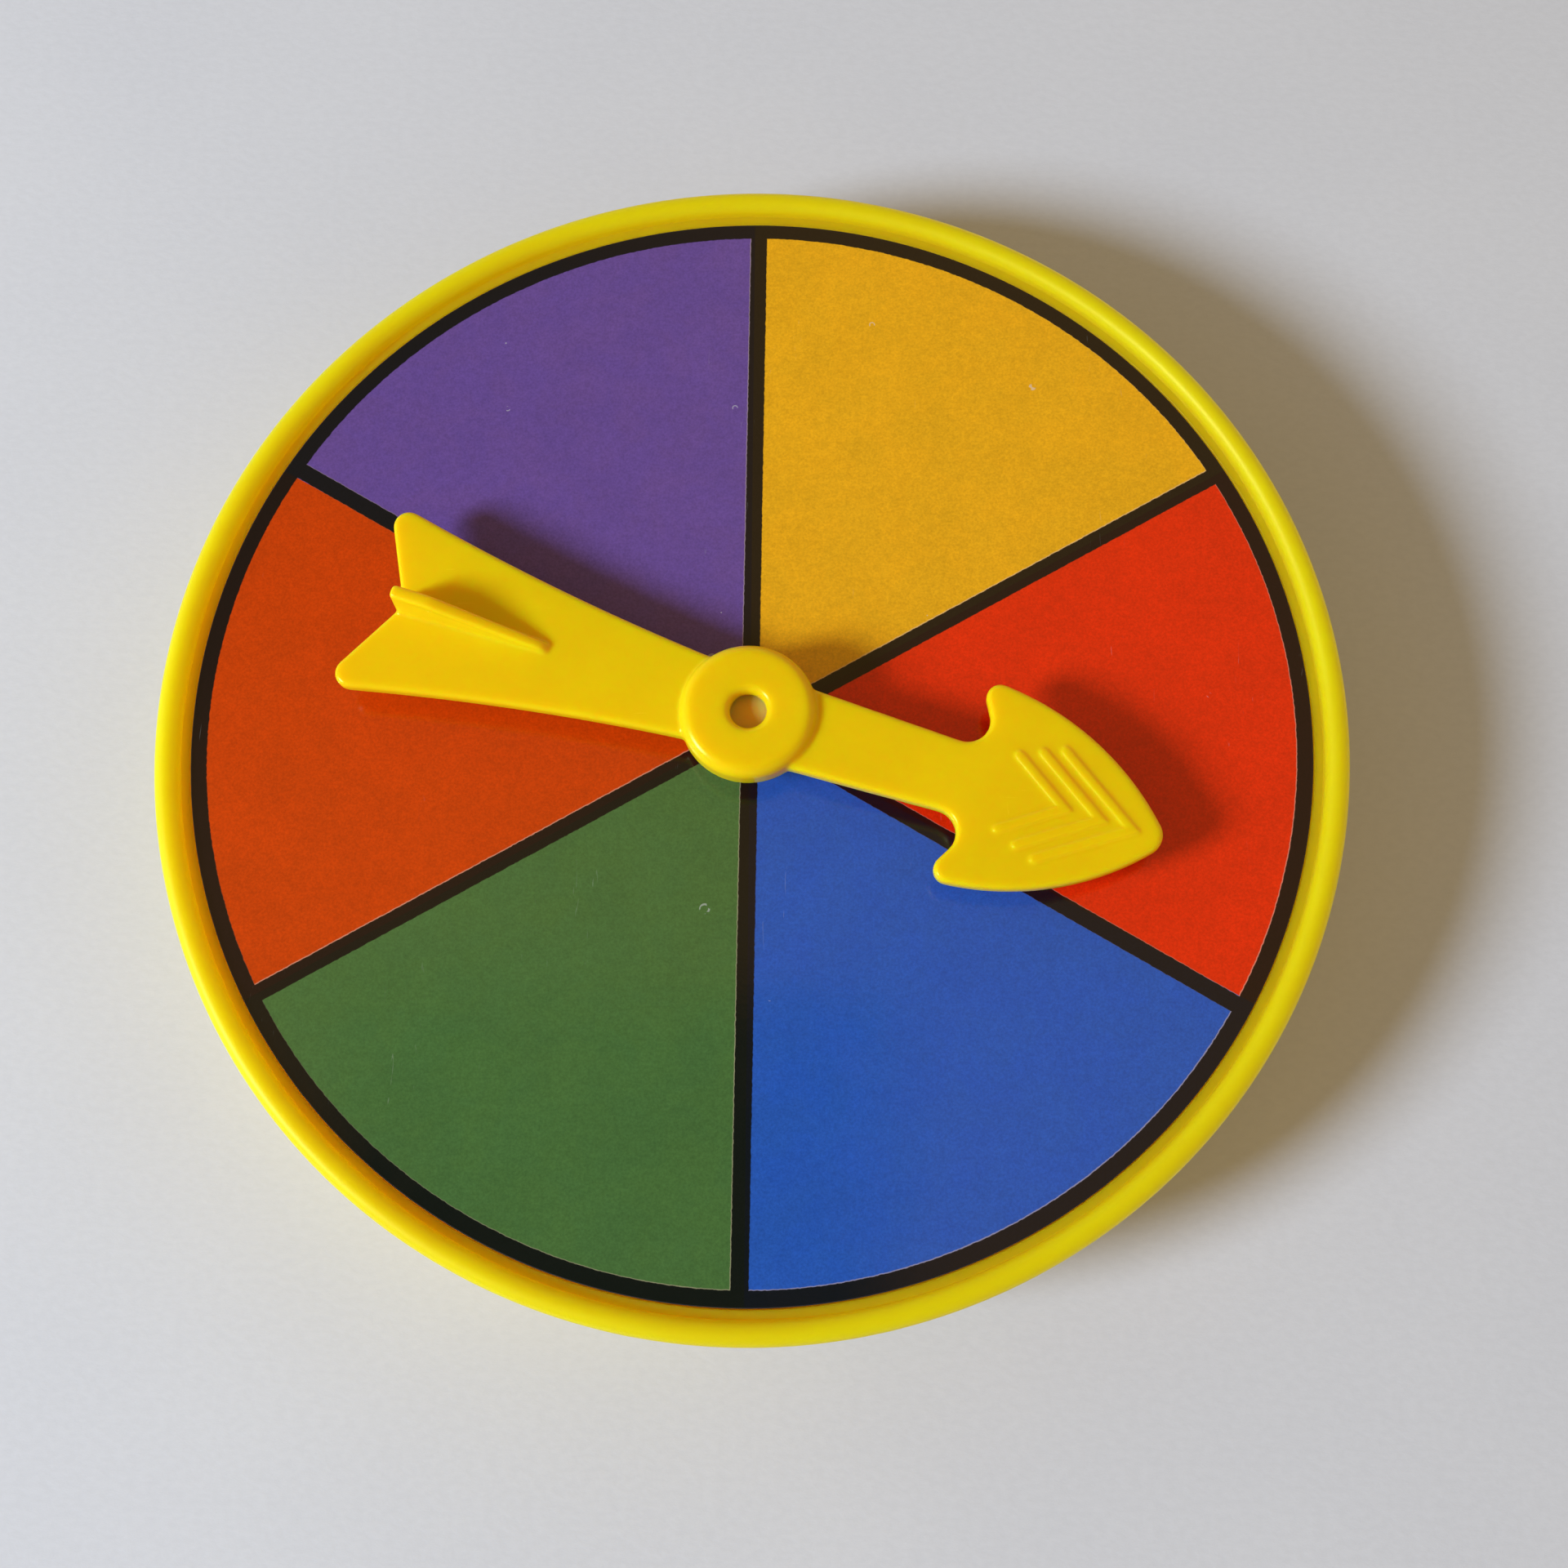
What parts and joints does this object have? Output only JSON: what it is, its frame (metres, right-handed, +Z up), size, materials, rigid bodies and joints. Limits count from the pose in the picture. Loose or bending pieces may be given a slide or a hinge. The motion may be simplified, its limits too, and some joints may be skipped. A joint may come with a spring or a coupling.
{
  "type": "game spinner",
  "caption": "Round shallow-tray game spinner: a free-turning plastic pointer with flick fin on a pin over a six-colour card.",
  "frame": {"origin": "on the pivot axis, at the level of the tray's foot", "axes": "+Z up along the pivot axis; +X through the middle of the red sector. At rest the pointer's tip lies 17.25 degrees clockwise of +X, seen from above"},
  "size_m": [0.1, 0.1, 0.0204],
  "materials": {
    "tray_plastic": "glossy yellow injection-moulded plastic",
    "card_print": "film-laminated printed card, six colour sectors with black lines",
    "pin_plastic": "yellow moulded plastic",
    "pointer_plastic": "glossy yellow injection-moulded plastic"
  },
  "bodies": {
    "base": {"tray": "tray_plastic", "printed_card": "card_print", "pivot_pin": "pin_plastic"},
    "spinner": {"pointer": "pointer_plastic"}
  },
  "joints": [
    {"name": "pointer_spin", "type": "hinge", "parent": "base", "child": "spinner", "pos_m": [0, 0, 0.0165], "axis": [0, 0, 1], "continuous": true}
  ]
}
